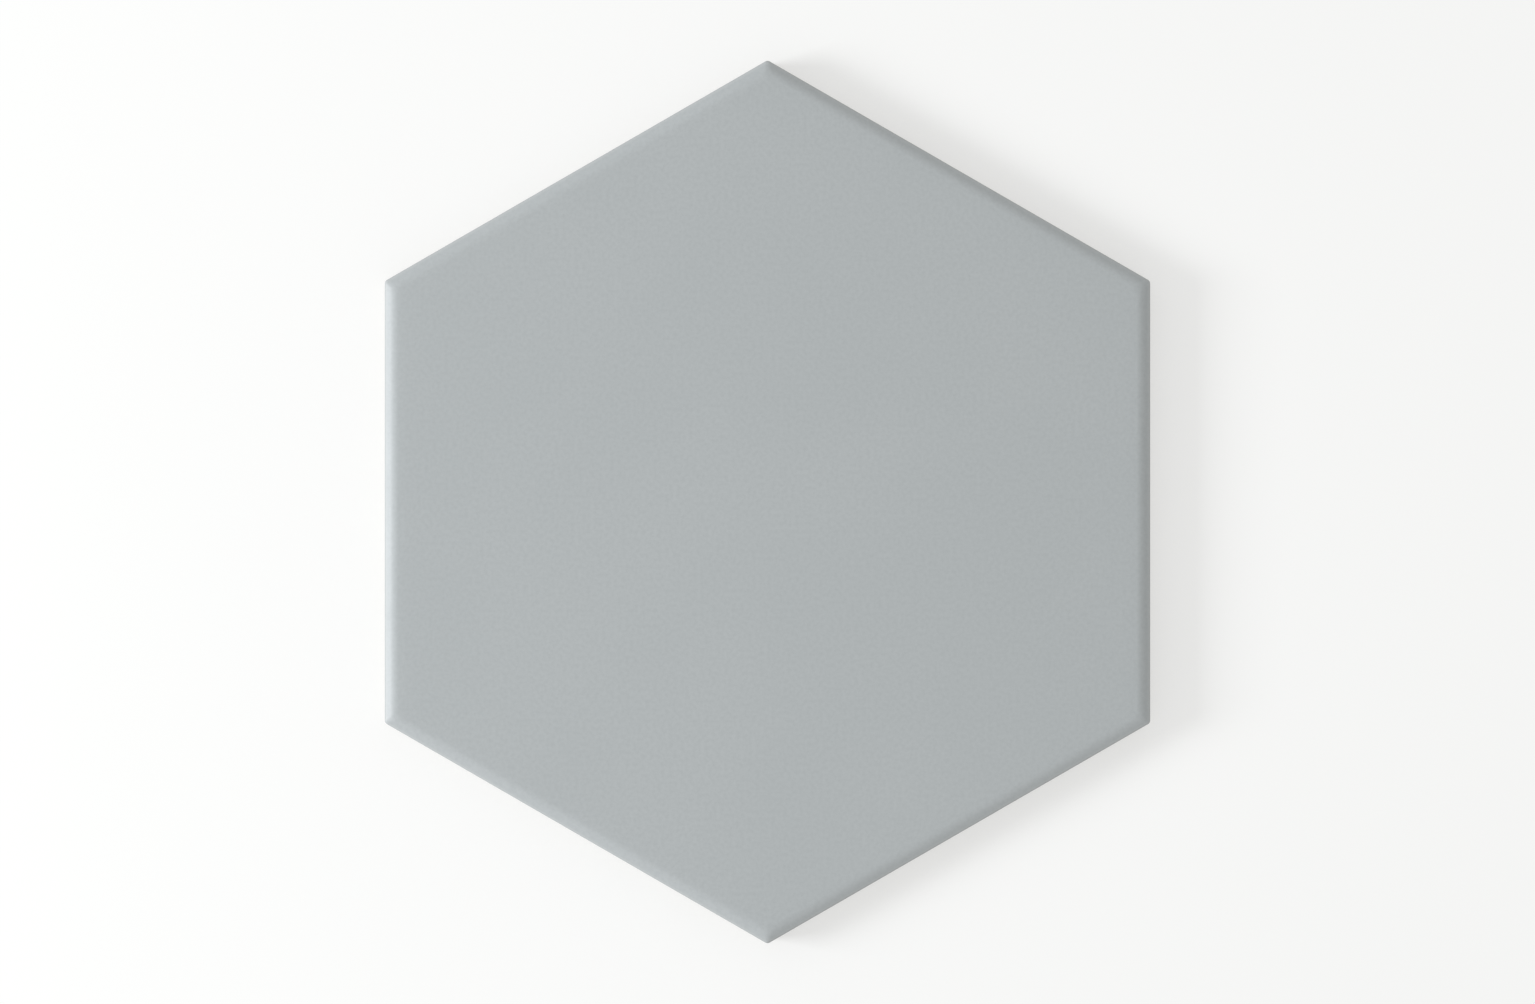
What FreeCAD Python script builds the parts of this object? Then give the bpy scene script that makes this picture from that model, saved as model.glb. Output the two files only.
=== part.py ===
"""A hexagon floor tile: one dry-pressed and fired ceramic piece with a glazed face.

The tile lies face up on its back. The origin is the middle of the back, +Z points out of the
glazed face, and two opposite sides face +X and -X. Lengths are in millimetres, angles in degrees.
"""
import FreeCAD, Part
import math
import os

import Sketcher

# Driving sizes: alias, value, what it measures
SIZES = [
    ("across_flats", 175.0, "width between two opposite sides"),
    ("thickness", 9.0, "from the back to the glazed face"),
    ("corner_radius", 1.0, "rounding of the six corners in plan"),
    ("shoulder_radius", 4.5, "where the flat face turns down into the rolled edge"),
    ("edge_slope", 30.0, "fall of the rolled edge below the face"),
    ("bevel_width", 0.75, "straight part of the rolled edge, in plan"),
    ("rim_radius", 0.8, "where the rolled edge turns down into the side"),
    ("land_height", 2.2, "upright band of the side, where two laid tiles meet"),
    ("side_draft", 3.0, "lean of the side below the land, so that the mould lets go"),
    ("foot_chamfer", 0.6, "bevel around the back"),
    ("cell_width", 17.5, "width of a recess of the honeycomb back, across its flats"),
    ("cell_depth", 0.9, "depth of a recess"),
    ("cell_draft", 20.0, "lean of a recess's walls"),
    ("cell_corner_radius", 2.5, "rounding of a recess's corners in plan"),
    ("rib_width", 3.0, "rib left between two recesses"),
    ("back_rim", 5.5, "least distance from a side to the honeycomb"),
    ("clearance", 1.0, "how far a cutting profile runs past the tile"),
]
FULL_TURN = 360.0
QUARTER_TURN = FULL_TURN / 4
SIDES = 6
HEXAGON_TURN = FULL_TURN / SIDES
# The honeycomb back is three equal sectors, so its rows leave its spokes at this angle
SECTORS = 3
SECTOR_TURN = FULL_TURN / SECTORS

# A sketch counts its own axes down from -1, and the points of a line or an arc up from 1
ACROSS_AXIS, UPRIGHT_AXIS = range(-1, -3, -1)
START, END, CENTRE = range(1, 4)
ORIGIN = (ACROSS_AXIS, START)

doc = FreeCAD.newDocument("hexagon_floor_tile")
sheet = doc.addObject("Spreadsheet::Sheet", "sizes")
for row, (alias, value, meaning) in enumerate(SIZES, 1):
    sheet.set(f"A{row}", alias)
    sheet.set(f"B{row}", str(value))
    sheet.setAlias(f"B{row}", alias)
    sheet.set(f"C{row}", meaning)
doc.recompute()
size = sheet.get


def vector(x, y):
    """A point of a sketch."""
    return FreeCAD.Vector(x, y, 0)


def polar(radius, degrees, centre=(0.0, 0.0)):
    """The point of a sketch at a radius and an angle from a centre."""
    turn = math.radians(degrees)
    return vector(centre[0] + radius * math.cos(turn), centre[1] + radius * math.sin(turn))


def origin_feature(body, role):
    """A body's own plane or axis, such as XY_Plane."""
    return next(item for item in body.Origin.OriginFeatures if item.Role == role)


def new_sketch(body, name, plane):
    """An empty sketch on one of the body's own planes."""
    sketch = body.newObject("Sketcher::SketchObject", name)
    sketch.AttachmentSupport = [(origin_feature(body, plane), "")]
    sketch.MapMode = "FlatFace"
    return sketch


def constrain(sketch, kind, *items):
    """Adds a constraint between lines, arcs or their points."""
    sketch.addConstraint(Sketcher.Constraint(kind, *items))


def measured(sketch, kind, items):
    """What a dimension measures on the geometry as drawn."""
    if kind == "Radius":
        return sketch.Geometry[items[0]].Radius
    if kind == "Angle":
        line = sketch.Geometry[items[0]]
        run = line.EndPoint - line.StartPoint
        return math.atan2(run.y, run.x)
    run = sketch.getPoint(*items[2:]) - sketch.getPoint(*items[:2])
    return run.x if kind == "DistanceX" else run.y


def dimension(sketch, expression, kind, *items):
    """Adds a dimension that follows the sheet. Its first value is read off the drawn geometry."""
    drawn = measured(sketch, kind, items)
    number = sketch.addConstraint(Sketcher.Constraint(kind, *items, drawn))
    sketch.setExpression(f"Constraints[{number}]", expression)


def square_up(sketch, level, upright):
    """Keeps lines level or upright."""
    for line in level:
        constrain(sketch, "Horizontal", line)
    for line in upright:
        constrain(sketch, "Vertical", line)


def draw_lines(sketch, points, construction=False):
    """Joined lines through the points, as their numbers."""
    lines = []
    for start, end in zip(points, points[1:]):
        lines.append(sketch.addGeometry(Part.LineSegment(start, end), construction))
    for line, following in zip(lines, lines[1:]):
        constrain(sketch, "Coincident", line, END, following, START)
    return lines


def draw_arc(sketch, centre, radius, start, end):
    """An arc between two angles in degrees, counted anticlockwise, as its number."""
    circle = Part.Circle(centre, FreeCAD.Vector(0, 0, 1), radius)
    arc = Part.ArcOfCircle(circle, math.radians(start), math.radians(end))
    return sketch.addGeometry(arc, False)


def draw_hexagon(sketch, width, first_angle, centre, construction=False):
    """A regular hexagon by the width across its flats and the direction of its first corner."""
    radius = width / 2 / math.cos(math.radians(HEXAGON_TURN / 2))
    middle = (centre.x, centre.y)
    corners = [polar(radius, first_angle + HEXAGON_TURN * i, middle) for i in range(SIDES + 1)]
    lines = draw_lines(sketch, corners, construction)
    constrain(sketch, "Coincident", lines[-1], END, lines[0], START)
    ring = sketch.addGeometry(Part.Circle(centre, FreeCAD.Vector(0, 0, 1), radius), True)
    for line in lines:
        constrain(sketch, "PointOnObject", line, START, ring)
    for line in lines[1:]:
        constrain(sketch, "Equal", lines[0], line)
    return lines, ring


def must_cut(feature):
    """Stops if a cut took nothing away from the piece that it was made on."""
    if feature.Shape.Volume >= feature.BaseFeature.Shape.Volume:
        raise RuntimeError(f"{feature.Label} cuts nothing")


# The blank: a hexagonal prism with rounded corners, two of its sides facing +X and -X
tile = doc.addObject("PartDesign::Body", "hexagon_tile")
tile.Label = "hexagon_tile"
z_axis = origin_feature(tile, "Z_Axis")

outline = new_sketch(tile, "outline", "XY_Plane")
sides, outline_ring = draw_hexagon(outline, size("across_flats"), -HEXAGON_TURN / 2, vector(0, 0))
right_side, left_side = sides[0], sides[SIDES // 2]
constrain(outline, "Coincident", outline_ring, CENTRE, *ORIGIN)
constrain(outline, "Vertical", right_side)
dimension(outline, "sizes.across_flats", "DistanceX", left_side, START, right_side, START)

blank = tile.newObject("PartDesign::Pad", "blank")
blank.Profile = outline
blank.setExpression("Length", "sizes.thickness")
doc.recompute()

corners = tile.newObject("PartDesign::Fillet", "rounded_corners")
corner_edges = [
    f"Edge{number}"
    for number, edge in enumerate(blank.Shape.Edges, 1)
    if edge.BoundBox.ZLength > size("thickness") / 2
]
corners.Base = (blank, corner_edges)
corners.setExpression("Radius", "sizes.corner_radius")


# The side's section is cut once on +X and turned round all sides, so that neighbours meet in a mitre


def draw_rolled_edge(sketch):
    """What is cut away above the land, leaving shoulder, bevel and rim. Returns the rim's arc."""
    half_width = size("across_flats") / 2
    top = size("thickness")
    shoulder, rim, bevel_width = size("shoulder_radius"), size("rim_radius"), size("bevel_width")
    square = QUARTER_TURN - size("edge_slope")
    bevel_end_x = half_width - rim + rim * math.cos(math.radians(square))
    shoulder_x = bevel_end_x - bevel_width - shoulder * math.cos(math.radians(square))
    shoulder_centre = vector(shoulder_x, top - shoulder)
    bevel_start = shoulder_centre + polar(shoulder, square)
    bevel_end = bevel_start + vector(bevel_width, -bevel_width / math.tan(math.radians(square)))
    rim_centre = bevel_end - polar(rim, square)
    rim_end = rim_centre + vector(rim, 0)
    outside, above = half_width + size("clearance"), top + size("clearance")

    shoulder_arc = draw_arc(sketch, shoulder_centre, shoulder, square, QUARTER_TURN)
    bevel = sketch.addGeometry(Part.LineSegment(bevel_start, bevel_end), False)
    rim_arc = draw_arc(sketch, rim_centre, rim, 0, square)
    floor, outer, roof, inner = draw_lines(
        sketch,
        [
            rim_end,
            vector(outside, rim_end.y),
            vector(outside, above),
            vector(shoulder_x, above),
            vector(shoulder_x, top),
        ],
    )
    square_up(sketch, level=(floor, roof), upright=(outer, inner))
    constrain(sketch, "Tangent", shoulder_arc, START, bevel, START)
    constrain(sketch, "Tangent", bevel, END, rim_arc, END)
    constrain(sketch, "Coincident", rim_arc, START, floor, START)
    constrain(sketch, "Coincident", inner, END, shoulder_arc, END)
    constrain(sketch, "Vertical", shoulder_arc, CENTRE, shoulder_arc, END)
    constrain(sketch, "Horizontal", rim_arc, CENTRE, rim_arc, START)
    dimension(sketch, "sizes.shoulder_radius", "Radius", shoulder_arc)
    dimension(sketch, "sizes.rim_radius", "Radius", rim_arc)
    dimension(sketch, "-sizes.edge_slope", "Angle", bevel)
    dimension(sketch, "sizes.bevel_width", "DistanceX", bevel, START, bevel, END)
    dimension(sketch, "sizes.thickness", "DistanceY", *ORIGIN, shoulder_arc, END)
    dimension(sketch, "sizes.across_flats / 2", "DistanceX", *ORIGIN, rim_arc, START)
    dimension(sketch, "sizes.clearance", "DistanceX", floor, START, floor, END)
    dimension(sketch, "sizes.clearance", "DistanceY", inner, END, inner, START)
    return rim_arc


def draw_drafted_side(sketch, rim_arc):
    """What is cut away below the land, leaving the drafted side and the foot."""
    land_bottom = sketch.getPoint(rim_arc, START) - vector(0, size("land_height"))
    foot = size("foot_chamfer")
    lean = math.tan(math.radians(size("side_draft")))
    draft_end = vector(land_bottom.x - (land_bottom.y - foot) * lean, foot)
    foot_end = draft_end - vector(foot, foot)
    outside, below = land_bottom.x + size("clearance"), -size("clearance")
    draft, chamfer, inner, floor, outer, roof = draw_lines(
        sketch,
        [
            land_bottom,
            draft_end,
            foot_end,
            vector(foot_end.x, below),
            vector(outside, below),
            vector(outside, land_bottom.y),
            land_bottom,
        ],
    )
    square_up(sketch, level=(floor, roof), upright=(outer, inner))
    constrain(sketch, "Coincident", roof, END, draft, START)
    constrain(sketch, "PointOnObject", chamfer, END, ACROSS_AXIS)
    dimension(sketch, "sizes.land_height", "DistanceY", draft, START, rim_arc, START)
    dimension(sketch, "sizes.across_flats / 2", "DistanceX", *ORIGIN, draft, START)
    dimension(sketch, f"-{QUARTER_TURN} - sizes.side_draft", "Angle", draft)
    dimension(sketch, "sizes.foot_chamfer", "DistanceY", chamfer, END, chamfer, START)
    dimension(sketch, "sizes.foot_chamfer", "DistanceX", chamfer, END, chamfer, START)
    dimension(sketch, "sizes.clearance", "DistanceX", roof, END, roof, START)
    dimension(sketch, "sizes.clearance", "DistanceY", inner, END, inner, START)


section = new_sketch(tile, "side_section", "XZ_Plane")
draw_drafted_side(section, draw_rolled_edge(section))
side_cut = tile.newObject("PartDesign::Pocket", "side_cut")
side_cut.Profile = section
side_cut.SideType = "Symmetric"
side_cut.setExpression("Length", "sizes.across_flats")

six_sides = tile.newObject("PartDesign::PolarPattern", "six_sides")
six_sides.Originals = [side_cut]
six_sides.Axis = (z_axis, [""])
six_sides.Angle = FULL_TURN
six_sides.Occurrences = SIDES
tile.Tip = six_sides
doc.recompute()
must_cut(side_cut)
must_cut(six_sides)


# The keyed back: shallow drafted recesses in a honeycomb, with ribs between them for the adhesive


def draw_cell(name, height):
    """The outline of a recess whose centre lies at a height on the sketch's upright axis.

    The lines through the centres of its rounded corners are a smaller hexagon, drawn first.
    Returns the sketch, the number of the ring round the centre and those of the smaller hexagon.
    """
    sketch = new_sketch(tile, name, "XY_Plane")
    radius = size("cell_corner_radius")
    core_width = size("cell_width") - 2 * radius
    core, core_ring = draw_hexagon(sketch, core_width, 0.0, vector(0, height), True)
    top, bottom = core[1], core[1 + SIDES // 2]
    between = "sizes.cell_width - 2 * sizes.cell_corner_radius"
    constrain(sketch, "Horizontal", top)
    dimension(sketch, between, "DistanceY", bottom, START, top, START)

    walls, rounds = [], []
    for index, number in enumerate(core):
        edge = sketch.Geometry[number]
        facing = HEXAGON_TURN * (index + 0.5)
        wall_start, wall_end = (point + polar(radius, facing) for point in (edge.StartPoint, edge.EndPoint))
        walls.append(sketch.addGeometry(Part.LineSegment(wall_start, wall_end), False))
        rounds.append(draw_arc(sketch, edge.EndPoint, radius, facing, facing + HEXAGON_TURN))
    for index, arc in enumerate(rounds):
        constrain(sketch, "Coincident", arc, CENTRE, core[index], END)
        constrain(sketch, "Tangent", walls[index], END, arc, START)
        constrain(sketch, "Tangent", arc, END, walls[(index + 1) % SIDES], START)
    for arc in rounds[1:]:
        constrain(sketch, "Equal", rounds[0], arc)
    dimension(sketch, "sizes.cell_corner_radius", "Radius", rounds[0])
    return sketch, core_ring, core


def cut_cell(name, sketch):
    """The recess, cut upwards into the back and narrower the deeper it goes."""
    pocket = tile.newObject("PartDesign::Pocket", name)
    pocket.Profile = sketch
    pocket.Reversed = True
    pocket.setExpression("Length", "sizes.cell_depth")
    pocket.setExpression("TaperAngle", "-sizes.cell_draft")
    return pocket


def repeat_along(name, sketch, axis, count):
    """Copies one pitch apart along an axis of a sketch."""
    row = tile.newObject("PartDesign::LinearPattern", name)
    row.Direction = (sketch, [axis])
    row.Mode = "Spacing"
    row.setExpression("Offset", PITCH)
    row.setExpression("Occurrences", count)
    return row


# SIDE_SHARE is how near a hexagon's sides stand to its middle, as a share of its corners' distance
PITCH = "(sizes.cell_width + sizes.rib_width)"
SIDE_SHARE = f"cos({HEXAGON_TURN / 2} deg)"
CELL_REACH = f"sizes.cell_width / 2 / {SIDE_SHARE}"
RINGS = f"floor((sizes.across_flats / 2 - sizes.back_rim - {CELL_REACH}) / ({PITCH} * {SIDE_SHARE}))"

middle_outline, middle_ring, _ = draw_cell("middle_cell_outline", 0.0)
constrain(middle_outline, "Coincident", middle_ring, CENTRE, *ORIGIN)
middle_cell = cut_cell("middle_cell", middle_outline)

# The cell above the middle one, with a line from its centre that its sector's rows run along
pitch = size("cell_width") + size("rib_width")
first_outline, first_ring, first_core = draw_cell("first_cell_outline", pitch)
constrain(first_outline, "PointOnObject", first_ring, CENTRE, UPRIGHT_AXIS)
dimension(first_outline, PITCH, "DistanceY", *ORIGIN, first_ring, CENTRE)
row_angle = QUARTER_TURN + SECTOR_TURN
row_end = polar(size("cell_width") / 2, row_angle, (0, pitch))
row_line = first_outline.addGeometry(Part.LineSegment(vector(0, pitch), row_end), True)
constrain(first_outline, "Coincident", row_line, START, first_ring, CENTRE)
constrain(first_outline, "Equal", row_line, first_core[0])
constrain(first_outline, "Angle", row_line, math.radians(row_angle - FULL_TURN))
first_cell = cut_cell("first_cell", first_outline)

# A sector is a rhombus, as many cells long as there are rings and one more wide. Three of them
# fill the honeycomb round its middle cell. The row line is the first axis after the core's sides.
honeycomb = tile.newObject("PartDesign::MultiTransform", "honeycomb")
honeycomb.Originals = [first_cell]
spoke = repeat_along("spoke", first_outline, "V_Axis", RINGS)
rows = repeat_along("rows", first_outline, f"Axis{SIDES}", f"{RINGS} + 1")
sectors = tile.newObject("PartDesign::PolarPattern", "sectors")
sectors.Axis = (z_axis, [""])
sectors.Angle = FULL_TURN
sectors.Occurrences = SECTORS
honeycomb.Transformations = [spoke, rows, sectors]
tile.Tip = honeycomb
doc.recompute()
for cut in (middle_cell, first_cell, honeycomb):
    must_cut(cut)

# Nothing is written unless every feature is sound and the tile is one solid
for item in doc.Objects:
    if "Invalid" in item.State or "Error" in item.State:
        raise RuntimeError(f"{item.Label} failed: {item.State}")
shape = tile.Shape
if shape.isNull() or not shape.isValid() or len(shape.Solids) != 1:
    raise RuntimeError("the tile is not one sound solid")
os.makedirs("parts", exist_ok=True)
shape.exportStep(f"parts/{tile.Label}.step")
cells = 1 + SECTORS * spoke.Occurrences * rows.Occurrences
print(f"{tile.Label}: {shape.Volume / 1000:.1f} cm3, {len(shape.Faces)} faces, {cells} recesses")
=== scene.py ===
# %% [markdown]
# # A hexagon floor tile
#
# The object is one pressed and fired ceramic tile with a matt grey glaze. This notebook dresses the
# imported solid: it builds one fine mesh in the same place and at the same size, gives it a glaze and a
# bare fired body, and photographs it from straight above, as floor tiles are shown when they are laid.
#
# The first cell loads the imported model. Everything after it is in metres, with the tile's back at
# height zero and its middle at the origin.

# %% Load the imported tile
import math

import bmesh
import bpy
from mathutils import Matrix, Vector, noise
from mathutils.geometry import delaunay_2d_cdt


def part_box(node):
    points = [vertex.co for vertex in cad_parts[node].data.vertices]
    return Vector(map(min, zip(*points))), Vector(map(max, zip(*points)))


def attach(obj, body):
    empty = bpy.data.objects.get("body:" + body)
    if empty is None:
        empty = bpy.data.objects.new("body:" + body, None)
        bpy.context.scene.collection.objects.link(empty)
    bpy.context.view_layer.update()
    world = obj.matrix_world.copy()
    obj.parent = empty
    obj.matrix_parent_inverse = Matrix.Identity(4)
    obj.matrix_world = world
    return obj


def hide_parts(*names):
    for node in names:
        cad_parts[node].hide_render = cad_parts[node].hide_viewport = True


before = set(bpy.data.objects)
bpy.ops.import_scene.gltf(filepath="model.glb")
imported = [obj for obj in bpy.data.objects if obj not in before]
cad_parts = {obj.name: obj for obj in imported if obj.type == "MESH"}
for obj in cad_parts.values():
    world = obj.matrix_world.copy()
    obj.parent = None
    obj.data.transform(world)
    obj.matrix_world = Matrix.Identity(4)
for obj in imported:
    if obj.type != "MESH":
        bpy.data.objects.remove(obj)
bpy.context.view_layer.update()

tile_low, tile_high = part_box("hexagon_tile")
print("packed tile, lowest and highest corner:", tuple(tile_low), tuple(tile_high))

# %% [markdown]
# ## Width and thickness
#
# The tile's width and thickness could be typed in once more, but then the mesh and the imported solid
# could drift apart. They are read from the solid, so the mesh can't be larger than it. Each other size
# has a name too, in the step that first needs it. Sizes are written in millimetres times `MM`, because
# Blender works in metres.

# %% Width and thickness
MM = 0.001
SIDES = 6
TURN = math.tau / SIDES
HALF_WIDTH = tile_high.x
THICKNESS = tile_high.z
print(f"width {2 * HALF_WIDTH / MM:.1f} mm, thickness {THICKNESS / MM:.1f} mm")

# %% [markdown]
# ## A line with rounded corners
#
# A pressed tile has no sharp edge. The glazed face rolls over a shoulder into a short bevel, turns
# down at the rim into an upright land, and leans inwards below it so that the mould lets go. A bevel
# modifier could round the edges, but it gives every edge the same rounding. Here the section of the
# side is drawn as a line with corners, and each corner gets a radius of its own.


# %% Round the corners of a line
def rounded_line(start, corners, end):
    """A line whose corners are arcs. Each corner is a point, a radius and a number of steps."""
    points = [start, *(corner for corner, _, _ in corners), end]
    line = [start]
    for before, (corner, radius, steps), after in zip(points, corners, points[2:]):
        arriving, leaving = (corner - before).normalized(), (after - corner).normalized()
        bend = arriving.angle(leaving)
        setback = radius * math.tan(bend / 2)
        arc_start, arc_end = corner - arriving * setback, corner + leaving * setback
        inward = (leaving - arriving).normalized()
        centre = corner + inward * (radius / math.cos(bend / 2))
        for step in range(steps + 1):
            direction = (arc_start - centre).slerp(arc_end - centre, step / steps)
            line.append(centre + direction * radius)
    line.append(end)
    return line


example = rounded_line(Vector((0, 0)), [(Vector((1, 0)), 0.5, 4)], Vector((1, 1)))
print(f"a square corner rounded in 4 steps: {len(example)} points")

# %% [markdown]
# ## Points on the long stretches
#
# Some steps below move the mesh's points, where the glaze ends and where the body is uneven, so the
# section's straight stretches need points too. A Subdivide would split every stretch alike, the short
# ones of the arcs as well. This function splits only the long ones, and it asks how long a step may be
# at each place.

# %% Divide a line's long stretches
WHOLE_BELOW = 1.5


def divided(line, step_at):
    """The same line with points added. A stretch shorter than WHOLE_BELOW steps stays whole."""
    result = [line[0]]
    for end in line[1:]:
        while (end - result[-1]).length > WHOLE_BELOW * step_at(result[-1]):
            onward = (end - result[-1]).normalized()
            result.append(result[-1] + onward * step_at(result[-1]))
        result.append(end)
    return result


example = divided([Vector((0, 0)), Vector((1, 0))], lambda point: 0.25)
print(f"a stretch divided in quarters: {len(example)} points")

# %% [markdown]
# ## Corners of the side's section
#
# The sizes are those that a tile maker gives: radii, a slope, the height of the land, a draft. The
# section's corners could be placed by eye, but they follow from these sizes. An arc begins at its
# setback from the corner, and two setbacks and the bevel add up to the length of the slope. The first
# number of a corner is its distance out from the land, so it is negative inside the tile, and the
# second is its height.

# %% Corners of the side's section
SHOULDER_RADIUS = 4.5 * MM
EDGE_SLOPE = math.radians(30)
BEVEL_WIDTH = 0.75 * MM
RIM_RADIUS = 0.8 * MM
LAND_HEIGHT = 2.2 * MM
SIDE_DRAFT = math.radians(3)
FOOT_CHAMFER = 0.6 * MM

rim_setback = RIM_RADIUS * math.tan((math.pi / 2 - EDGE_SLOPE) / 2)
shoulder_setback = SHOULDER_RADIUS * math.tan(EDGE_SLOPE / 2)
slope_length = rim_setback + BEVEL_WIDTH / math.cos(EDGE_SLOPE) + shoulder_setback
rim_corner = Vector((0, THICKNESS - slope_length * math.sin(EDGE_SLOPE)))
shoulder_corner = Vector((-slope_length * math.cos(EDGE_SLOPE), THICKNESS))
shoulder_end = shoulder_corner.x - shoulder_setback
land_top = rim_corner.y - rim_setback
land_bottom = Vector((0, land_top - LAND_HEIGHT))
draft_end = Vector((-(land_bottom.y - FOOT_CHAMFER) * math.tan(SIDE_DRAFT), FOOT_CHAMFER))
foot_corner = draft_end - Vector((FOOT_CHAMFER, FOOT_CHAMFER))
print(f"rolled edge {-shoulder_end / MM:.2f} mm wide, foot {-foot_corner.x / MM:.2f} mm in from the land")

# %% [markdown]
# ## Draw the side's section
#
# The line starts on the back, a little in from the foot, and ends on the face, a little in from the
# shoulder. It could stop at those corners, but the margins give back and face a first strip of even
# quads. The foot is only as round as wear makes it, and a wide soft arc hides the turn of three degrees
# under the land. The steps are finest where the glaze ends on the side, because the mesh has a small
# ledge there.

# %% Draw the side's section
BACK_MARGIN, FACE_MARGIN = 0.5 * MM, 3.0 * MM
WORN_EDGE, LAND_SOFTNESS = 0.2 * MM, 6.0 * MM
WORN_STEPS, LAND_STEPS, RIM_STEPS, SHOULDER_STEPS = 3, 2, 8, 12
GLAZE_LINE = 4.9 * MM
FINE_STEP, COARSE_STEP, FINE_REACH = 0.15 * MM, 0.55 * MM, 1.0 * MM


def section_step(point):
    """Fine steps where the glaze ends on the side, coarse ones elsewhere."""
    return FINE_STEP if abs(point.y - GLAZE_LINE) < FINE_REACH else COARSE_STEP


section = rounded_line(
    foot_corner - Vector((BACK_MARGIN, 0)),
    [
        (foot_corner, WORN_EDGE, WORN_STEPS),
        (draft_end, WORN_EDGE, WORN_STEPS),
        (land_bottom, LAND_SOFTNESS, LAND_STEPS),
        (rim_corner, RIM_RADIUS, RIM_STEPS),
        (shoulder_corner, SHOULDER_RADIUS, SHOULDER_STEPS),
    ],
    Vector((shoulder_end - FACE_MARGIN, THICKNESS)),
)
section = divided(section, section_step)
print(f"section: {len(section)} points")

# %% [markdown]
# ## Rings round the tile
#
# Each point of the section becomes a closed ring round the tile: a hexagon with rounded corners. One
# outline could be scaled from ring to ring, but its corner radii would shrink with it. A ring that is
# worked out afresh keeps the radius that it is given. All rings have the same number of points, so two
# neighbours are joined by quads with nothing left over.

# %% A hexagon with rounded corners
CORNER_RADIUS = 1.0 * MM


def hexagon_ring(half, radius, side_steps, corner_steps, facing_first=0.0):
    """Points of a hexagon, anticlockwise. half is half its width, from side to side."""
    points = []
    straight = (half - radius) * math.tan(TURN / 2)
    for side in range(SIDES):
        facing = facing_first + side * TURN
        out = Vector((math.cos(facing), math.sin(facing)))
        along = Vector((-out.y, out.x))
        for step in range(side_steps):
            share = 2 * step / side_steps - 1
            points.append(out * half + along * straight * share)
        centre = out * (half - radius) + along * straight
        for step in range(corner_steps):
            angle = facing + TURN * step / corner_steps
            points.append(centre + radius * Vector((math.cos(angle), math.sin(angle))))
    return points


outline = hexagon_ring(HALF_WIDTH, CORNER_RADIUS, side_steps=1, corner_steps=2)
print(f"{2 * max(point.y for point in outline) / MM:.1f} mm from corner to corner")

# %% [markdown]
# ## Where the glaze ends
#
# Glaze is sprayed on the face, and some of it reaches the side, where it ends in a wandering line. The
# line could be drawn in the material alone. Here it is a function of the place, because two things
# have to follow it: the small step that the glaze makes in the mesh, and the change of finish in the
# material. It adds a slow sway, from the spraying, and a quick one, from the melting.

# %% The line at which the glaze ends
SLOW_SWAY, SLOW_SWAY_LENGTH = 0.60 * MM, 26.0 * MM
QUICK_SWAY, QUICK_SWAY_LENGTH = 0.34 * MM, 5.0 * MM


def above_glaze_line(point):
    """How high a point lies above the line at which the glaze ends, in metres."""
    slow = SLOW_SWAY * noise.noise(Vector((point.x, point.y, 0)) / SLOW_SWAY_LENGTH)
    quick = QUICK_SWAY * noise.noise(Vector((point.x, point.y, THICKNESS)) / QUICK_SWAY_LENGTH)
    return point.z - GLAZE_LINE - slow - quick


print(f"the glaze ends about {GLAZE_LINE / MM:.1f} mm above the back")

# %% [markdown]
# ## The relief of the face
#
# Glaze thins as it goes over an edge, so the face sags by a hair just before it rolls over, and the
# flat keeps a very shallow waviness. A displace modifier could add the wave, but it would also lift
# points out of the solid's box. These functions only lower a point, so that none leaves it.

# %% The glazed face
FACE_WAVE, FACE_WAVE_LENGTH = 0.018 * MM, 34.0 * MM
EDGE_SAG, EDGE_SAG_REACH = 0.05 * MM, 1.1 * MM


def unevenness(point, length):
    """Smooth noise from 0 to 1 whose waves are about a length long."""
    return 0.5 - 0.5 * noise.noise(point / length)


def inset_of(point):
    """How far a point of the plan lies in from the nearest side."""
    reach = (point.x * math.cos(side * TURN) + point.y * math.sin(side * TURN) for side in range(SIDES))
    return HALF_WIDTH - max(reach)


def face_height(point):
    """The glazed face's height: flat, with a shallow wave and a sag just before the rolled edge."""
    wave = FACE_WAVE * unevenness(Vector((point.x, point.y, 0)), FACE_WAVE_LENGTH)
    inset = max(0.0, inset_of(point) + shoulder_end)
    sag = EDGE_SAG * math.exp(-inset / EDGE_SAG_REACH)
    return point.z - wave - sag


print(f"the face waves by {FACE_WAVE / MM:.3f} mm and sags by {EDGE_SAG / MM:.2f} mm at the rolled edge")

# %% [markdown]
# ## The relief of the bare side
#
# Below the glaze the side is the fired body itself. It stands a tenth of a millimetre further in than
# the glaze, and pressed powder is never quite even. Both could be bump in the material, but a step that
# casts a line of shade at a low angle is real relief, so it is a move of the mesh's points.

# %% The bare side
GLAZE_STEP, GLAZE_LIP = 0.12 * MM, 0.3 * MM
BODY_UNEVENNESS, BODY_WAVE_LENGTH = 0.05 * MM, 7.0 * MM


def smooth_step(low, high, value):
    """0 below low, 1 above high, and an even curve between them."""
    share = min(1.0, max(0.0, (value - low) / (high - low)))
    return share * share * (3 - 2 * share)


def side_inset(point):
    """How far the bare body stands back from the glaze at a point of the side."""
    bare = 1 - smooth_step(-GLAZE_LIP, 0, above_glaze_line(point))
    return bare * (GLAZE_STEP + BODY_UNEVENNESS * unevenness(point, BODY_WAVE_LENGTH))


print(f"the body stands {GLAZE_STEP / MM:.2f} mm back from the glaze")

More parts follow.
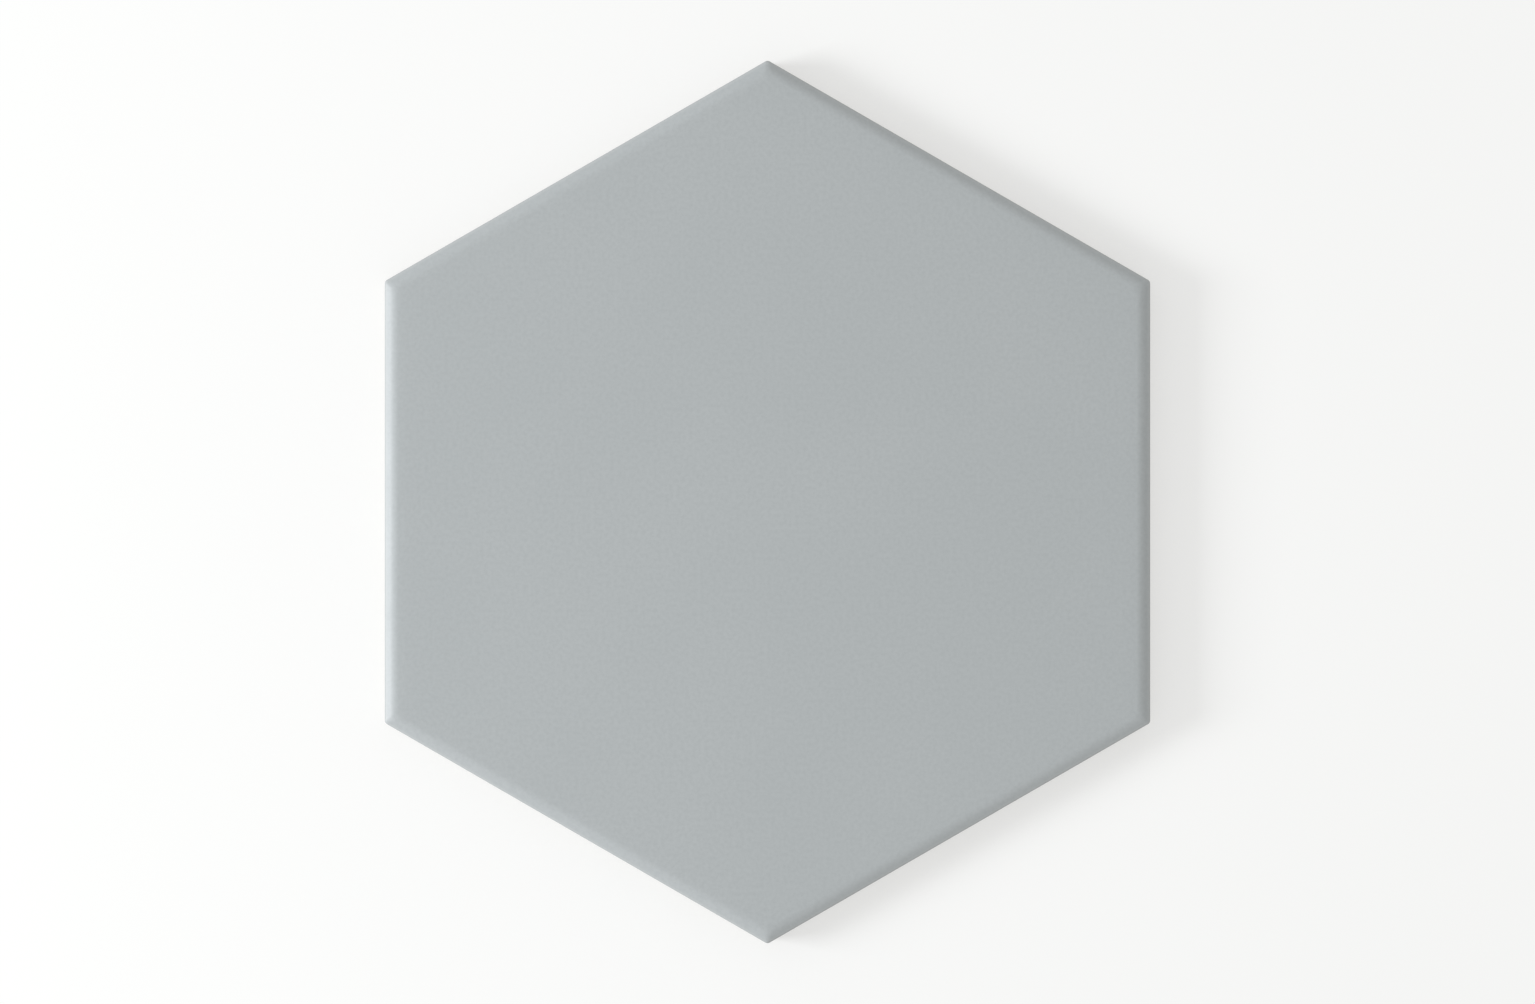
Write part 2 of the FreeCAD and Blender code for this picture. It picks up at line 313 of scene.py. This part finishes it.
# %% [markdown]
# ## The side and the rolled edge
#
# One bmesh holds the whole tile, because the real one is one piece. The section's rings give the side
# and the rolled edge. A Remesh modifier would spread its points evenly and lose the crisp rim, while
# rings put the points where the form turns. On the rolled edge the corners get rounder from ring to
# ring. That softens the line where two rolled edges meet, as the glaze does in the kiln when it flows.

# %% Join the rings of the section
SIDE_STEPS, CORNER_STEPS = 84, 10
CORNER_SOFTENING = 0.55
mesh = bmesh.new()


def join_rings(lower, upper):
    """Quads between two rings of equal count."""
    for index, vert in enumerate(lower):
        following = (index + 1) % len(lower)
        mesh.faces.new((vert, lower[following], upper[following], upper[index]))


rings = []
for across, height in section:
    rolled = across < 0 and height > land_top
    radius = CORNER_RADIUS - CORNER_SOFTENING * across if rolled else CORNER_RADIUS
    ring = []
    for point in hexagon_ring(HALF_WIDTH + across, radius, SIDE_STEPS, CORNER_STEPS):
        place = Vector((point.x, point.y, height))
        if rolled:
            place.z = face_height(place)
        elif height > 0:
            place.xy -= place.xy.normalized() * side_inset(place)
        ring.append(mesh.verts.new(place))
    rings.append(ring)
for lower, upper in zip(rings, rings[1:]):
    join_rings(lower, upper)
print(f"{len(rings)} rings of {len(rings[0])} points")

# %% [markdown]
# ## The glazed face
#
# The face could be one flat polygon, but it carries the glaze's waviness, so it needs points inside.
# The last ring closes in on the middle in steps, and each step has one point fewer on every side. That
# is the pattern of a triangular lattice, so the triangles stay even and follow the tile's six sides.


# %% Close the face with smaller and smaller rings
def smaller_ring(rim, count, scale):
    """A copy of a ring with fewer points, drawn in towards the middle and laid on the face."""
    made = []
    for index in range(count):
        place = index * len(rim) / count
        first, second = rim[int(place)], rim[(int(place) + 1) % len(rim)]
        point = first.co.lerp(second.co, place % 1) * scale
        point.z = THICKNESS
        point.z = face_height(point)
        made.append(mesh.verts.new(point))
    return made


def join_lattice_rings(outer, inner):
    """Triangles between a ring and the next smaller one, or the middle point."""
    count = len(outer) // SIDES
    for side in range(SIDES):
        for step in range(count):
            first = outer[side * count + step]
            second = outer[(side * count + step + 1) % len(outer)]
            near, far = (inner[(side * (count - 1) + step + ahead) % len(inner)] for ahead in (0, 1))
            mesh.faces.new((first, second, near))
            if step < count - 1:
                mesh.faces.new((second, far, near))


to_corner = SIDE_STEPS + CORNER_STEPS // 2
face_rim = rings[-1][to_corner:] + rings[-1][:to_corner]
last_count = SIDE_STEPS + CORNER_STEPS
outer = face_rim
for count in range(last_count - 1, 0, -1):
    inner = smaller_ring(face_rim, SIDES * count, count / last_count)
    join_lattice_rings(outer, inner)
    outer = inner
middle = mesh.verts.new((0, 0, face_height(Vector((0, 0, THICKNESS)))))
join_lattice_rings(outer, [middle])
print(f"face closed by {last_count} rings")

# %% [markdown]
# ## Places of the recesses
#
# The back is pressed with shallow recesses, so that the adhesive grips it. They stand in rings round a
# middle one. Array modifiers could copy one recess in two directions, but they fill a rhombus. Here
# two steps, one to the upper right and one straight up, reach every place of the honeycomb. A place
# belongs to the tile if neither count of steps, nor their sum, passes the number of rings.

# %% Places of the recesses
CELL_WIDTH, RIB_WIDTH = 17.5 * MM, 3.0 * MM
BACK_RIM = 5.5 * MM

pitch = CELL_WIDTH + RIB_WIDTH
cell_reach = CELL_WIDTH / 2 / math.cos(TURN / 2)
cell_rings = math.floor((HALF_WIDTH - BACK_RIM - cell_reach) / (pitch * math.cos(TURN / 2)))
right_step = pitch * Vector((math.cos(TURN / 2), math.sin(TURN / 2)))
up_step = pitch * Vector((0, 1))
steps = range(-cell_rings, cell_rings + 1)
cells = [right_step * a + up_step * b for a in steps for b in steps if abs(a + b) <= cell_rings]
print(f"{len(cells)} recesses in {cell_rings} rings")

# %% [markdown]
# ## The recesses
#
# Each recess has its own short section: a worn rib edge, a leaning wall and a rounded foot, turned
# into rings as the side was. Prisms could be cut out with a boolean, but they would leave sharp edges.
# Pressed powder is never quite even, so the floor of a recess waves by a hair. The ribs stay true,
# because the tile lies on them.

# %% Turn the recesses
CELL_DEPTH, CELL_DRAFT = 0.9 * MM, math.radians(20)
CELL_CORNER_RADIUS, LEAST_CORNER = 2.5 * MM, 0.3 * MM
RIB_EDGE, CELL_FOOT, ROUNDING_STEPS = 0.25 * MM, 0.4 * MM, 2
RIB_STRIP, FLOOR_STRIP = 0.6 * MM, 3.0 * MM
CELL_STEPS = 4


def back_place(point, height):
    """A point of the back, with the slight unevenness of pressed powder on what isn't a rib."""
    rough = unevenness(Vector((point.x, point.y, height)), BODY_WAVE_LENGTH)
    depth = smooth_step(0, CELL_DEPTH, height)
    return Vector((point.x, point.y, height - BODY_UNEVENNESS * rough * depth))


wall_foot = Vector((-CELL_DEPTH * math.tan(CELL_DRAFT), CELL_DEPTH))
cell_section = rounded_line(
    Vector((RIB_STRIP, 0)),
    [(Vector((0, 0)), RIB_EDGE, ROUNDING_STEPS), (wall_foot, CELL_FOOT, ROUNDING_STEPS)],
    Vector((-FLOOR_STRIP, CELL_DEPTH)),
)
rib_rings = []
for centre in cells:
    loops = []
    for across, height in cell_section:
        radius = max(LEAST_CORNER, CELL_CORNER_RADIUS + across)
        loop = hexagon_ring(CELL_WIDTH / 2 + across, radius, CELL_STEPS, CELL_STEPS, TURN / 2)
        loops.append([mesh.verts.new(back_place(centre + point, height)) for point in loop])
    for lower, upper in zip(loops, loops[1:]):
        join_rings(lower, upper)
    rib_rings.append(loops[0])
    middle = mesh.verts.new(back_place(centre, CELL_DEPTH))
    inmost = loops[-1]
    for vert, following in zip(inmost, inmost[1:] + inmost[:1]):
        mesh.faces.new((vert, following, middle))
print(f"each recess: {len(cell_section)} rings of {len(rib_rings[0])} points")

# %% [markdown]
# ## The flat of the ribs
#
# The ribs are one flat with holes in it. A single polygon can't have holes, so the flat is filled with
# triangles. A Delaunay triangulation takes the rim and the holes as fixed edges and makes the triangles
# between them as even as they can be. It works best when no three points of an edge are in line, so
# it sees each ring slightly bowed, while the faces that it makes use the true points.

# %% Fill the flat between a rim and its holes
BOW = 0.002
SAME_PLACE_MM = 1e-6


def bowed(loop):
    """The plan of a loop in millimetres, with its sides bowed out by a hair."""
    centre = sum((vert.co for vert in loop), Vector()) / len(loop)
    reach = max((vert.co - centre).length for vert in loop)
    plan = []
    for vert in loop:
        spoke = vert.co - centre
        plan.append((centre + spoke * (1 + BOW * (1 - spoke.length_squared / reach**2))).xy / MM)
    return plan


def fill_flat(rim, holes):
    """Triangles inside a rim and outside its holes."""
    verts = [vert for loop in (rim, *holes) for vert in loop]
    plan = [point for loop in (rim, *holes) for point in bowed(loop)]
    edges, first = [], 0
    for loop in (rim, *holes):
        edges += [(first + i, first + (i + 1) % len(loop)) for i in range(len(loop))]
        first += len(loop)
    _, _, faces, origins, _, _ = delaunay_2d_cdt(plan, edges, [], 0, SAME_PLACE_MM)
    hole_of = {vert: number for number, hole in enumerate(holes) for vert in hole}
    for face in faces:
        corners = [verts[origins[index][0]] for index in face]
        owners = {hole_of.get(vert) for vert in corners}
        if len(owners) > 1 or None in owners:
            mesh.faces.new(corners)


faces_before = len(mesh.faces)
fill_flat(rings[0], rib_rings)
print(f"{len(mesh.faces) - faces_before} triangles on the ribs")

# %% [markdown]
# ## From mesh to object
#
# The mesh becomes an object. Flat shading would show its facets, so it is shaded smooth. It needs no
# sharp edges marked, since every edge of it is already rounded. Its volume and its open edges are
# measured first: a real tile of this size holds about 220 cm3, and a sound mesh has no open edge.

# %% Make the mesh into an object
CM = 10 * MM
bmesh.ops.recalc_face_normals(mesh, faces=mesh.faces)
open_edges = sum(not edge.is_manifold for edge in mesh.edges)
triangles = sum(len(face.verts) - 2 for face in mesh.faces)
print(f"{triangles} triangles, {open_edges} open edges, {mesh.calc_volume() / CM**3:.1f} cm3")
tile_mesh = bpy.data.meshes.new("fired_tile")
mesh.to_mesh(tile_mesh)
mesh.free()
tile_mesh.shade_smooth()
tile = bpy.data.objects.new("fired_tile", tile_mesh)
bpy.context.scene.collection.objects.link(tile)

# %% [markdown]
# ## Measures for the finish
#
# The material will need two measures of each point: its height above the line at which the glaze ends,
# and its distance from the tile's edge. Nodes could work them out again, but the mesh carries them as
# attributes, so that shape and finish can't disagree.


# %% Measures of each point
def add_measure(name, measure):
    """Gives each point of the mesh a number in millimetres that the material can read."""
    values = [measure(vert.co) / MM for vert in tile_mesh.vertices]
    tile_mesh.attributes.new(name, "FLOAT", "POINT").data.foreach_set("value", values)
    print(f"{name}: from {min(values):.2f} to {max(values):.2f} mm")


add_measure("above_glaze_line", above_glaze_line)
add_measure("from_edge", inset_of)

# %% [markdown]
# ## Node maths
#
# A material is easier to read as sums than as boxes and wires. `Wire` holds one socket of a node tree.
# Plus, minus and times add Math nodes, and `node` adds anything else: it sets the node's own options
# first and then fills or links its sockets.


# %% Wires
class Wire:
    """A socket of a node tree that can stand in a sum."""

    def __init__(self, tree, socket=None):
        self.tree = tree
        self.socket = socket

    def node(self, kind, sockets=None, output=0, **settings):
        """Adds a node and returns the wire of one of its outputs, if it has any."""
        made = self.tree.nodes.new(kind)
        for name, value in settings.items():
            setattr(made, name, value)
        for name, value in (sockets or {}).items():
            if isinstance(value, Wire):
                self.tree.links.new(value.socket, made.inputs[name])
            else:
                made.inputs[name].default_value = value
        return Wire(self.tree, made.outputs[output]) if made.outputs else None

    def maths(self, operation, first, second):
        """A Math node of two values."""
        return self.node("ShaderNodeMath", {0: first, 1: second}, operation=operation)

    def __add__(self, other):
        return self.maths("ADD", self, other)

    def __sub__(self, other):
        return self.maths("SUBTRACT", self, other)

    def __rsub__(self, other):
        return self.maths("SUBTRACT", other, self)

    def __mul__(self, other):
        return self.maths("MULTIPLY", self, other)

    __radd__ = __add__
    __rmul__ = __mul__


def new_material(name):
    """An empty node material and a wire to build it with."""
    material = bpy.data.materials.new(name)
    material.use_nodes = True
    material.node_tree.nodes.clear()
    return material, Wire(material.node_tree)


fired, wire = new_material("matt_glaze_on_fired_body")
print(f"{fired.name}: ready for its nodes")

# %% [markdown]
# ## Noise, blends and mixes
#
# Real surfaces vary in patches. A picture could carry them, but it would stretch over the edges and
# blur up close. Noise in the object's own coordinates has no seams, and it stays in place when the
# tile is moved. Three helpers do most of the work: a cloud of noise, a soft blend over a span of
# values, and a mix of two colours.


# %% Noise, blends, mixes and places on the tile
def cloud(place, size, detail=2.0, roughness=0.5):
    """Noise from 0 to 1 whose patches are about a size across, in metres."""
    sockets = {"Vector": place, "Scale": 1 / size, "Detail": detail, "Roughness": roughness}
    return place.node("ShaderNodeTexNoise", sockets)


def between(value, span, start=0.0, end=1.0):
    """start where the value is below a span, end where it is above, and a soft blend inside it."""
    low, high = span
    sockets = {"Value": value, "From Min": low, "From Max": high, "To Min": start, "To Max": end}
    return value.node("ShaderNodeMapRange", sockets, interpolation_type="SMOOTHSTEP")


MIX_SHARE, MIX_FIRST_COLOUR, MIX_SECOND_COLOUR, MIXED_COLOUR = 0, 6, 7, 2


def mixed(share, first, second):
    """A blend of two colours. The Mix node's sockets share their names, so they go by number."""
    sockets = {MIX_SHARE: share, MIX_FIRST_COLOUR: first, MIX_SECOND_COLOUR: second}
    return share.node("ShaderNodeMix", sockets, output=MIXED_COLOUR, data_type="RGBA")


place = wire.node("ShaderNodeTexCoord", output="Object")
height = wire.node("ShaderNodeSeparateXYZ", {"Vector": place}, output="Z")
above_line = wire.node("ShaderNodeAttribute", output="Fac", attribute_name="above_glaze_line")
from_edge = wire.node("ShaderNodeAttribute", output="Fac", attribute_name="from_edge")
print(f"{len(fired.node_tree.nodes)} nodes read a point's place and the measures of the mesh")

# %% [markdown]
# ## The glaze's colour
#
# The glaze is a slightly cool grey. Up close it isn't one colour: it drifts very slightly in depth, and
# it has a fine mottle where crystals have grown. Where it runs down to its lower edge it pools and is a
# shade darker, and over the rim it thins and is a shade paler. One colour would look like plastic. Four
# mixes, one laid on the other, keep each of these causes apart, so that each can be tuned by itself.

# %% Colour of the glaze
GLAZE = (0.441, 0.465, 0.481, 1)
GLAZE_DEEP = (0.432, 0.457, 0.473, 1)
GLAZE_MOTTLE = (0.374, 0.397, 0.412, 1)
GLAZE_POOLED = (0.350, 0.374, 0.390, 1)
GLAZE_THIN = (0.500, 0.520, 0.530, 1)
DRIFT_SIZE, DRIFT_SPAN = 38 * MM, (0.35, 0.65)
MOTTLE_SIZE, MOTTLE_SPAN, MOTTLE_SHARE = 0.9 * MM, (0.3, 0.75), 0.5
POOL_SPAN_MM, POOL_SHARE = (0.0, 0.7), 0.75
THIN_SPAN_MM, THIN_SHARE = (0.1, 0.9), 0.6
RIM_SPAN = (land_top, land_top + 0.4 * MM)

drift = between(cloud(place, DRIFT_SIZE, detail=3.0), DRIFT_SPAN)
mottle = between(cloud(place, MOTTLE_SIZE, detail=4.0, roughness=0.62), MOTTLE_SPAN, end=MOTTLE_SHARE)
pooled = between(above_line, POOL_SPAN_MM, start=POOL_SHARE, end=0.0)
over_rim = between(from_edge, THIN_SPAN_MM, start=THIN_SHARE, end=0.0) * between(height, RIM_SPAN)
glaze_colour = mixed(drift, GLAZE, GLAZE_DEEP)
glaze_colour = mixed(mottle, glaze_colour, GLAZE_MOTTLE)
glaze_colour = mixed(pooled, glaze_colour, GLAZE_POOLED)
glaze_colour = mixed(over_rim, glaze_colour, GLAZE_THIN)
print(f"the glaze's mottle is {MOTTLE_SIZE / MM:.1f} mm wide")

# %% [markdown]
# ## The glaze's gloss and skin
#
# The flat is matt, and on the rolled edge the glaze fires a little glossier. Its skin is very lightly
# dimpled, with finer crystals in it. Dimples of a few thousandths of a millimetre would take millions
# of triangles, so they are bump. Every depth is in millimetres, and one Bump node at the end, set to a
# distance of one millimetre, turns them into slopes of their true steepness.

# %% Gloss and skin of the glaze
FLAT_ROUGHNESS, EDGE_ROUGHNESS = 0.80, 0.44
GLOSS_SPAN_MM = (1.2, 4.0)
GLOSS_SIZE, GLOSS_DRIFT = 6 * MM, 0.08
DIMPLE_SIZE, DIMPLE_MM = 1.4 * MM, 0.0055
CRYSTAL_SIZE, CRYSTAL_MM = 0.28 * MM, 0.0012

matt = between(from_edge, GLOSS_SPAN_MM, start=EDGE_ROUGHNESS, end=FLAT_ROUGHNESS)
glaze_roughness = matt + GLOSS_DRIFT * cloud(place, GLOSS_SIZE, detail=3.0)
glaze_relief = DIMPLE_MM * cloud(place, DIMPLE_SIZE, detail=1.5)
glaze_relief = glaze_relief + CRYSTAL_MM * cloud(place, CRYSTAL_SIZE, detail=1.0)
print(f"glaze roughness {EDGE_ROUGHNESS} at the edge, {FLAT_ROUGHNESS} on the flat")

# %% [markdown]
# ## The bare body
#
# Below the glaze the fired body shows: pressed powder, pale and dry, with fine grains and a few dark
# iron specks. The mould has drawn faint upright lines on the side as the tile was pushed out. They are
# noise like the grain, but read in a space that is squeezed in height, so that its patches stretch
# into lines. Specks could be noise cut at a threshold, but that gives them the shape of commas. Here
# they are the dots round scattered points, from a Voronoi node, with a little noise to fray them.

# %% Body: colour and relief
BODY_PALE = (0.640, 0.612, 0.565, 1)
BODY_DARK = (0.525, 0.495, 0.448, 1)
IRON_SPECK = (0.215, 0.175, 0.140, 1)
BODY_ROUGHNESS = 0.9
BODY_SPAN = (0.36, 0.64)
GRAIN_SIZE, GRAIN_MM = 0.42 * MM, 0.032
STAIN_SIZE = 11 * MM
DRAWN_SIZE, DRAWN_SQUEEZE, DRAWN_MM = 0.7 * MM, (1.0, 1.0, 0.06), 0.012
GRAIN_WEIGHT, STAIN_WEIGHT, DRAWN_WEIGHT = 0.5, 0.3, 0.2
SPECK_SPACING, SPECK_SPAN, SPECK_SHARE = 3.2 * MM, (0.06, 0.10), 0.75
FRAY_SIZE, FRAY = 0.25 * MM, 0.08

grain = cloud(place, GRAIN_SIZE, detail=4.0, roughness=0.65)
stain = cloud(place, STAIN_SIZE, detail=3.0)
drawn_place = wire.node("ShaderNodeMapping", {"Vector": place, "Scale": DRAWN_SQUEEZE})
drawn_lines = cloud(drawn_place, DRAWN_SIZE, detail=3.0, roughness=0.7)
body_tone = GRAIN_WEIGHT * grain + STAIN_WEIGHT * stain + DRAWN_WEIGHT * drawn_lines
body_colour = mixed(between(body_tone, BODY_SPAN), BODY_PALE, BODY_DARK)
speck_distance = wire.node("ShaderNodeTexVoronoi", {"Vector": place, "Scale": 1 / SPECK_SPACING})
frayed_distance = speck_distance + FRAY * cloud(place, FRAY_SIZE, detail=1.0)
specks = between(frayed_distance, SPECK_SPAN, start=SPECK_SHARE, end=0.0)
body_colour = mixed(specks, body_colour, IRON_SPECK)
body_relief = GRAIN_MM * grain + DRAWN_MM * drawn_lines
print(f"body grain {GRAIN_SIZE / MM:.2f} mm, {GRAIN_MM:.3f} mm deep")

# %% [markdown]
# ## The white slip
#
# A white slip is sprayed on before the glaze, so that the body's colour doesn't show through. It
# reaches a little lower on the side and shows there as a thin uneven line. It could be a piece of mesh,
# but it is thinner than a sheet of paper. A mask that starts at the glaze's line and ends a noisy
# distance below it gives the same line.

# %% White slip under the glaze
WHITE_SLIP = (0.760, 0.752, 0.725, 1)
SLIP_SHARE = 0.8
SLIP_LEAST_MM, SLIP_MORE_MM, SLIP_SIZE = 0.12, 0.5, 2.2 * MM
SLIP_GRAIN_MM, SLIP_GRAIN_SIZE = 0.35, 0.3 * MM
SLIP_BLEND_MM = (-0.1, 0.1)

slip_width = SLIP_LEAST_MM + SLIP_MORE_MM * cloud(place, SLIP_SIZE, detail=3.0)
slip_grain = SLIP_GRAIN_MM * (cloud(place, SLIP_GRAIN_SIZE) - 0.5)
under_glaze = between(above_line + slip_width + slip_grain, SLIP_BLEND_MM, end=SLIP_SHARE)
body_colour = mixed(under_glaze, body_colour, WHITE_SLIP)
print(f"the slip shows {SLIP_LEAST_MM} to {SLIP_LEAST_MM + SLIP_MORE_MM} mm below the glaze")

# %% [markdown]
# ## Kiln wash
#
# Kiln wash is a pale powder that keeps a tile from sticking to the kiln's rollers. It rubs off on what
# touches them, so it lies on the ribs only, in patches drawn out in the direction of travel. The height
# above the back tells rib from recess, so no second material or painted mask is needed.

# %% Kiln wash on the ribs
KILN_WASH = (0.725, 0.713, 0.682, 1)
RIB_SPAN = (0.03 * MM, 0.15 * MM)
WASH_SIZE, WASH_STRETCH = 9 * MM, (1.0, 0.35, 1.0)
WASH_SPAN, WASH_SHARE = (0.40, 0.64), 0.7
DUST_SIZE, DUST_WEIGHT = 0.35 * MM, 0.25

on_rib = between(height, RIB_SPAN, start=1.0, end=0.0)
rolled_place = wire.node("ShaderNodeMapping", {"Vector": place, "Scale": WASH_STRETCH})
patches = cloud(rolled_place, WASH_SIZE, detail=5.0, roughness=0.62)
powder = (1 - DUST_WEIGHT) * patches + DUST_WEIGHT * cloud(place, DUST_SIZE)
wash = between(powder, WASH_SPAN, end=WASH_SHARE)
body_colour = mixed(on_rib * wash, body_colour, KILN_WASH)
print(f"the wash lies in patches of about {WASH_SIZE / MM:.0f} mm")

# %% [markdown]
# ## One material for both
#
# Glaze and body meet in a ragged line with a few stray droplets below it. Two materials on two sets of
# faces would meet along the triangles' edges instead. The mesh carries how high each point lies above
# the line, so colour, gloss and relief change where the shape does. All of it is one material with a
# mask in it, because glaze and body are one piece.

# %% The fired tile's material
IOR = 1.5
RAGGED_SIZE, RAGGED_MM, RAGGED_BLEND_MM = 0.55 * MM, 0.5, (-0.1, 0.08)
DROPLET_SIZE, DROPLET_SPAN, DROPLET_SHARE = 0.4 * MM, (0.60, 0.66), 0.8
DROPLETS_PER_MM = 0.14

ragged = RAGGED_MM * (cloud(place, RAGGED_SIZE, detail=3.0) - 0.5)
coated = between(above_line + ragged, RAGGED_BLEND_MM)
spatter = cloud(place, DROPLET_SIZE, detail=1.0) + DROPLETS_PER_MM * above_line
droplets = between(spatter, DROPLET_SPAN, end=DROPLET_SHARE)
glazed = wire.maths("MAXIMUM", coated, droplets)
bare = 1 - glazed
relief = glazed * glaze_relief + bare * body_relief
finish = {
    "Base Color": mixed(glazed, body_colour, glaze_colour),
    "Roughness": glazed * glaze_roughness + bare * BODY_ROUGHNESS,
    "Normal": wire.node("ShaderNodeBump", {"Height": relief, "Distance": MM, "Strength": 1.0}),
    "IOR": IOR,
}
wire.node("ShaderNodeOutputMaterial", {"Surface": wire.node("ShaderNodeBsdfPrincipled", finish)})
tile.data.materials.append(fired)

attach(tile, "root")
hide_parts("hexagon_tile")
print(f"{fired.name}: {len(fired.node_tree.nodes)} nodes")

# %% [markdown]
# ## Floor and background
#
# The tile lies on a plain white floor. A white floor would throw much light back at the tile's sides,
# so the floor is white only for camera rays and grey for the light that bounces off it. Half of what
# the camera sees there is a plain white glow, which keeps the floor even and the tile's shadow light.
# The glow grows away from the tile, until floor and sky are one white and no horizon shows.

# %% The floor
WHITE = (1, 1, 1, 1)
FLOOR_HALF = 12.0
FLOOR_SEEN, FLOOR_BOUNCE = 0.92, 0.55
FLOOR_GLOW, GLOW_SPAN = 0.5, (0.2, 1.0)
floor_mesh = bpy.data.meshes.new("floor")
floor_corners = [(x * FLOOR_HALF, y * FLOOR_HALF, 0) for x, y in ((-1, -1), (1, -1), (1, 1), (-1, 1))]
floor_mesh.from_pydata(floor_corners, [], [(0, 1, 2, 3)])
floor = bpy.data.objects.new("floor", floor_mesh)
bpy.context.scene.collection.objects.link(floor)

pale, wire = new_material("pale_floor")
camera_ray = wire.node("ShaderNodeLightPath", output="Is Camera Ray")
floor_place = wire.node("ShaderNodeTexCoord", output="Object")
distance = wire.node("ShaderNodeVectorMath", {0: floor_place}, output="Value", operation="LENGTH")
glow_share = between(distance, GLOW_SPAN, start=FLOOR_GLOW)
grey = FLOOR_BOUNCE + camera_ray * (FLOOR_SEEN - FLOOR_BOUNCE)
diffuse = wire.node("ShaderNodeBsdfDiffuse", {"Color": grey})
glow = wire.node("ShaderNodeEmission", {"Color": WHITE, "Strength": 1.0})
shown = wire.node("ShaderNodeMixShader", {0: camera_ray * glow_share, 1: diffuse, 2: glow})
wire.node("ShaderNodeOutputMaterial", {"Surface": shown})
floor_mesh.materials.append(pale)
print(f"floor: {2 * FLOOR_HALF:.0f} m wide")

# %% [markdown]
# ## The window light
#
# The rolled edge is what makes the tile read as solid from above, and it only shows if the light comes
# from one side. A sun lamp would draw hard lines on it. A large soft lamp stands low at the left, as a
# window would. Its power is worked out from the share of the light that it should give to a level
# surface, so that the lamp's share and the sky's add up to one, and colours render about as they are
# written.

# %% The window light
KEY_SHARE = 0.34
KEY_AZIMUTH = math.radians(184)
KEY_HEIGHT = math.radians(26)
KEY_DISTANCE = 1.5
KEY_SIZE = 0.55
KEY_TINT = (0.96, 0.985, 1.0)
level = math.cos(KEY_HEIGHT)
to_lamp = Vector((math.cos(KEY_AZIMUTH) * level, math.sin(KEY_AZIMUTH) * level, math.sin(KEY_HEIGHT)))
lamp = bpy.data.lights.new("window_light", "AREA")
lamp.size = KEY_SIZE
lamp.color = KEY_TINT
lamp.energy = KEY_SHARE * (math.pi * KEY_DISTANCE) ** 2 / math.sin(KEY_HEIGHT)
holder = bpy.data.objects.new("window_light", lamp)
holder.location = to_lamp * KEY_DISTANCE
holder.rotation_euler = to_lamp.to_track_quat("Z", "Y").to_euler()
holder.visible_camera = False
bpy.context.scene.collection.objects.link(holder)
print(f"window light: {lamp.energy:.1f} W, {KEY_SHARE:.2f} of the light on the face")

# %% [markdown]
# ## The sky
#
# The sky gives the rest of the light, evenly from all round, as a bright room does. Its colour could
# simply be white at full strength, but then it would light the tile too much. So only the camera and
# reflections see it white, and for all other rays it has the strength that the window light leaves.

# %% The sky
SKY_TINT = (1.0, 1.0, 0.965, 1)
sky = bpy.data.worlds.new("sky")
bpy.context.scene.world = sky
sky.use_nodes = True
sky.node_tree.nodes.clear()
wire = Wire(sky.node_tree)
seen_white = wire.node("ShaderNodeLightPath", output="Is Camera Ray")
for name in ("Is Glossy Ray", "Is Transmission Ray"):
    seen_white = wire.maths("MAXIMUM", seen_white, wire.node("ShaderNodeLightPath", output=name))
light = wire.node("ShaderNodeBackground", {"Color": SKY_TINT, "Strength": 1 - KEY_SHARE})
white = wire.node("ShaderNodeBackground", {"Color": WHITE, "Strength": 1.0})
shown = wire.node("ShaderNodeMixShader", {0: seen_white, 1: light, 2: white})
wire.node("ShaderNodeOutputWorld", {"Surface": shown})
print(f"sky: {1 - KEY_SHARE:.2f} of the light on the face")

# %% [markdown]
# ## Camera
#
# The camera hangs over the middle of the tile and looks straight down, with +Y up in the picture. An
# orthographic camera would show the plan exactly, but other views of the tile would look like drawings.
# A long lens from far away keeps the sides out of sight and still gives a photograph. Its distance
# follows from the share of the picture's height that the tile should take.

# %% The camera
PICTURE_WIDTH, PICTURE_HEIGHT = 1535, 1004
TILE_SHARE = 0.88
LENS = 135.0
camera_data = bpy.data.cameras.new("overhead")
camera_data.lens = LENS
tile_height = tile_high.y - tile_low.y
seen_per_metre = camera_data.sensor_width / LENS * PICTURE_HEIGHT / PICTURE_WIDTH
camera = bpy.data.objects.new("overhead", camera_data)
camera.location = (0, 0, THICKNESS + tile_height / TILE_SHARE / seen_per_metre)
bpy.context.scene.collection.objects.link(camera)
bpy.context.scene.camera = camera
bpy.context.scene.view_settings.view_transform = "Standard"
print(f"camera {camera.location.z:.2f} m above the floor")
